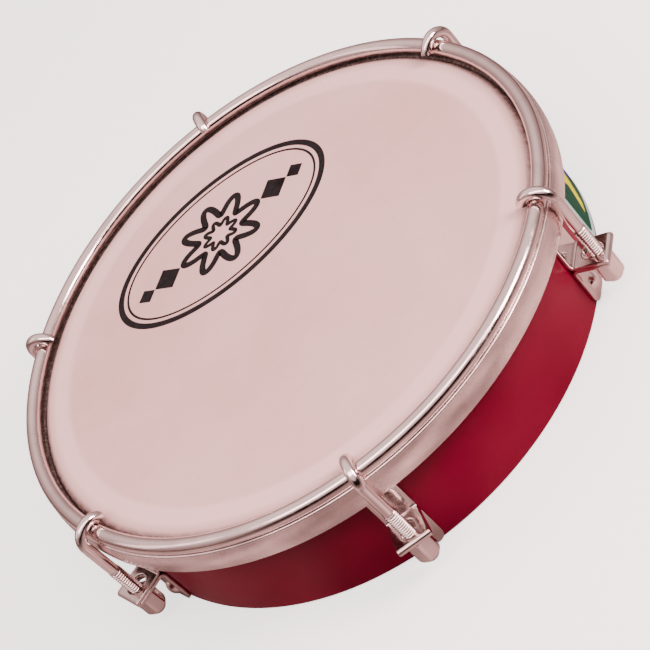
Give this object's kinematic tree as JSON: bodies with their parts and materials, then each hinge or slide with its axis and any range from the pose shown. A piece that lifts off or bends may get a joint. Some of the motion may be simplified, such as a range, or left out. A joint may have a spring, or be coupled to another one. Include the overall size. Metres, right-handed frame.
{
  "type": "frame drum",
  "caption": "Small single-headed frame drum with a red steel shell, milky film head, chromed counterhoop and J-hook tension rods with nuts on folded brackets.",
  "frame": {"origin": "centre of the shell's bottom rim, on the surface that the drum rests on", "axes": "+Z along the drum's axis towards the head; +X through the middle of the shell label, between two lugs; +Y through one lug"},
  "size_m": [0.163, 0.1744, 0.0412],
  "materials": {
    "red_lacquer": "glossy dark red lacquer on steel",
    "head_film": "milky translucent polyester film, satin gloss",
    "hoop_steel": "plain drawn metal, satin",
    "hoop_chrome": "polished chrome with fine scratches",
    "rod_chrome": "polished chrome",
    "nut_nickel": "bright nickel plate",
    "bracket_nickel": "bright nickel plate on stamped steel",
    "rivet_nickel": "bright nickel plate",
    "label_print": "glossy printed film"
  },
  "bodies": {
    "drum": {"shell": "red_lacquer", "flesh_hoop": "hoop_steel", "drumhead": "head_film", "shell_label": "label_print", "bracket_1": "bracket_nickel", "bracket_2": "bracket_nickel", "bracket_3": "bracket_nickel", "bracket_4": "bracket_nickel", "bracket_5": "bracket_nickel", "bracket_6": "bracket_nickel", "rivet_1": "rivet_nickel", "rivet_2": "rivet_nickel", "rivet_3": "rivet_nickel", "rivet_4": "rivet_nickel", "rivet_5": "rivet_nickel", "rivet_6": "rivet_nickel"},
    "counterhoop": {"hoop_band": "hoop_chrome", "hoop_wire": "hoop_chrome", "tension_rod_1": "rod_chrome", "tension_rod_2": "rod_chrome", "tension_rod_3": "rod_chrome", "tension_rod_4": "rod_chrome", "tension_rod_5": "rod_chrome", "tension_rod_6": "rod_chrome"},
    "nut_1": {"tension_nut_1": "nut_nickel"},
    "nut_2": {"tension_nut_2": "nut_nickel"},
    "nut_3": {"tension_nut_3": "nut_nickel"},
    "nut_4": {"tension_nut_4": "nut_nickel"},
    "nut_5": {"tension_nut_5": "nut_nickel"},
    "nut_6": {"tension_nut_6": "nut_nickel"}
  },
  "joints": [
    {"name": "hoop_travel", "type": "slide", "parent": "drum", "child": "counterhoop", "axis": [0, 0, 1], "range_m": [0, 0.003]},
    {"name": "nut_1_turn", "type": "hinge", "parent": "drum", "child": "nut_1", "pos_m": [0, 0.0833, 0.009], "axis": [0, 0, 1], "range_deg": [-1360.5, 0]},
    {"name": "nut_2_turn", "type": "hinge", "parent": "drum", "child": "nut_2", "pos_m": [0.07214, 0.04165, 0.009], "axis": [0, 0, 1], "range_deg": [-1360.5, 0]},
    {"name": "nut_3_turn", "type": "hinge", "parent": "drum", "child": "nut_3", "pos_m": [0.07214, -0.04165, 0.009], "axis": [0, 0, 1], "range_deg": [-1360.5, 0]},
    {"name": "nut_4_turn", "type": "hinge", "parent": "drum", "child": "nut_4", "pos_m": [0, -0.0833, 0.009], "axis": [0, 0, 1], "range_deg": [-1360.5, 0]},
    {"name": "nut_5_turn", "type": "hinge", "parent": "drum", "child": "nut_5", "pos_m": [-0.07214, -0.04165, 0.009], "axis": [0, 0, 1], "range_deg": [-1360.5, 0]},
    {"name": "nut_6_turn", "type": "hinge", "parent": "drum", "child": "nut_6", "pos_m": [-0.07214, 0.04165, 0.009], "axis": [0, 0, 1], "range_deg": [-1360.5, 0]}
  ],
  "couplings": [
    {"joint": "nut_1_turn", "follows": "hoop_travel", "rad_per_m": -7913.3},
    {"joint": "nut_2_turn", "follows": "hoop_travel", "rad_per_m": -7913.3},
    {"joint": "nut_3_turn", "follows": "hoop_travel", "rad_per_m": -7913.3},
    {"joint": "nut_4_turn", "follows": "hoop_travel", "rad_per_m": -7913.3},
    {"joint": "nut_5_turn", "follows": "hoop_travel", "rad_per_m": -7913.3},
    {"joint": "nut_6_turn", "follows": "hoop_travel", "rad_per_m": -7913.3}
  ]
}
